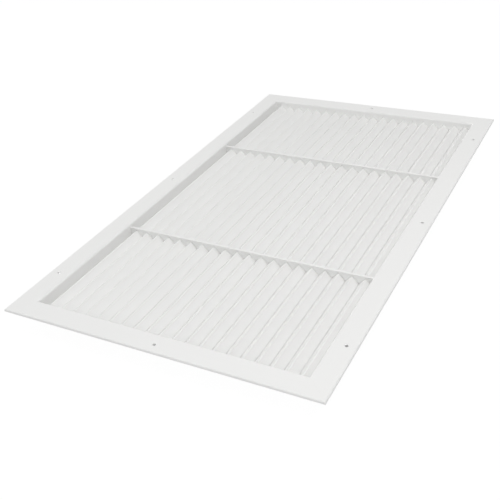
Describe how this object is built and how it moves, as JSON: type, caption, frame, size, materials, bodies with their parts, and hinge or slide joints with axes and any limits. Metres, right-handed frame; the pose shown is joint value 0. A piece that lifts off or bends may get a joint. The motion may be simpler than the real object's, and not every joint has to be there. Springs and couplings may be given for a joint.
{
  "type": "return air grille",
  "caption": "Rectangular return air grille: flanged frame with screw holes, long sight-proof chevron blades and cross bars.",
  "frame": {"origin": "middle of the plane that the end of the neck stands on, with the grille lying face up", "axes": "+X across the blades, +Y along the blades, +Z out of the face towards the room"},
  "size_m": [0.47, 0.82, 0.03],
  "materials": {
    "frame_coat": "white powder coat, satin",
    "blade_coat": "white powder coat, satin",
    "bar_coat": "white powder coat, satin",
    "key_aluminium": "bare mill finish"
  },
  "bodies": {
    "root": {"frame_rail_left": "frame_coat", "frame_rail_right": "frame_coat", "frame_rail_near": "frame_coat", "frame_rail_far": "frame_coat", "corner_key_near_left": "key_aluminium", "corner_key_near_right": "key_aluminium", "corner_key_far_left": "key_aluminium", "corner_key_far_right": "key_aluminium", "cross_bar_near": "bar_coat", "cross_bar_far": "bar_coat", "blade_01": "blade_coat", "blade_02": "blade_coat", "blade_03": "blade_coat", "blade_04": "blade_coat", "blade_05": "blade_coat", "blade_06": "blade_coat", "blade_07": "blade_coat", "blade_08": "blade_coat", "blade_09": "blade_coat", "blade_10": "blade_coat", "blade_11": "blade_coat", "blade_12": "blade_coat", "blade_13": "blade_coat", "blade_14": "blade_coat", "blade_15": "blade_coat", "blade_16": "blade_coat", "blade_17": "blade_coat", "blade_18": "blade_coat", "blade_19": "blade_coat", "blade_20": "blade_coat"}
  },
  "joints": []
}
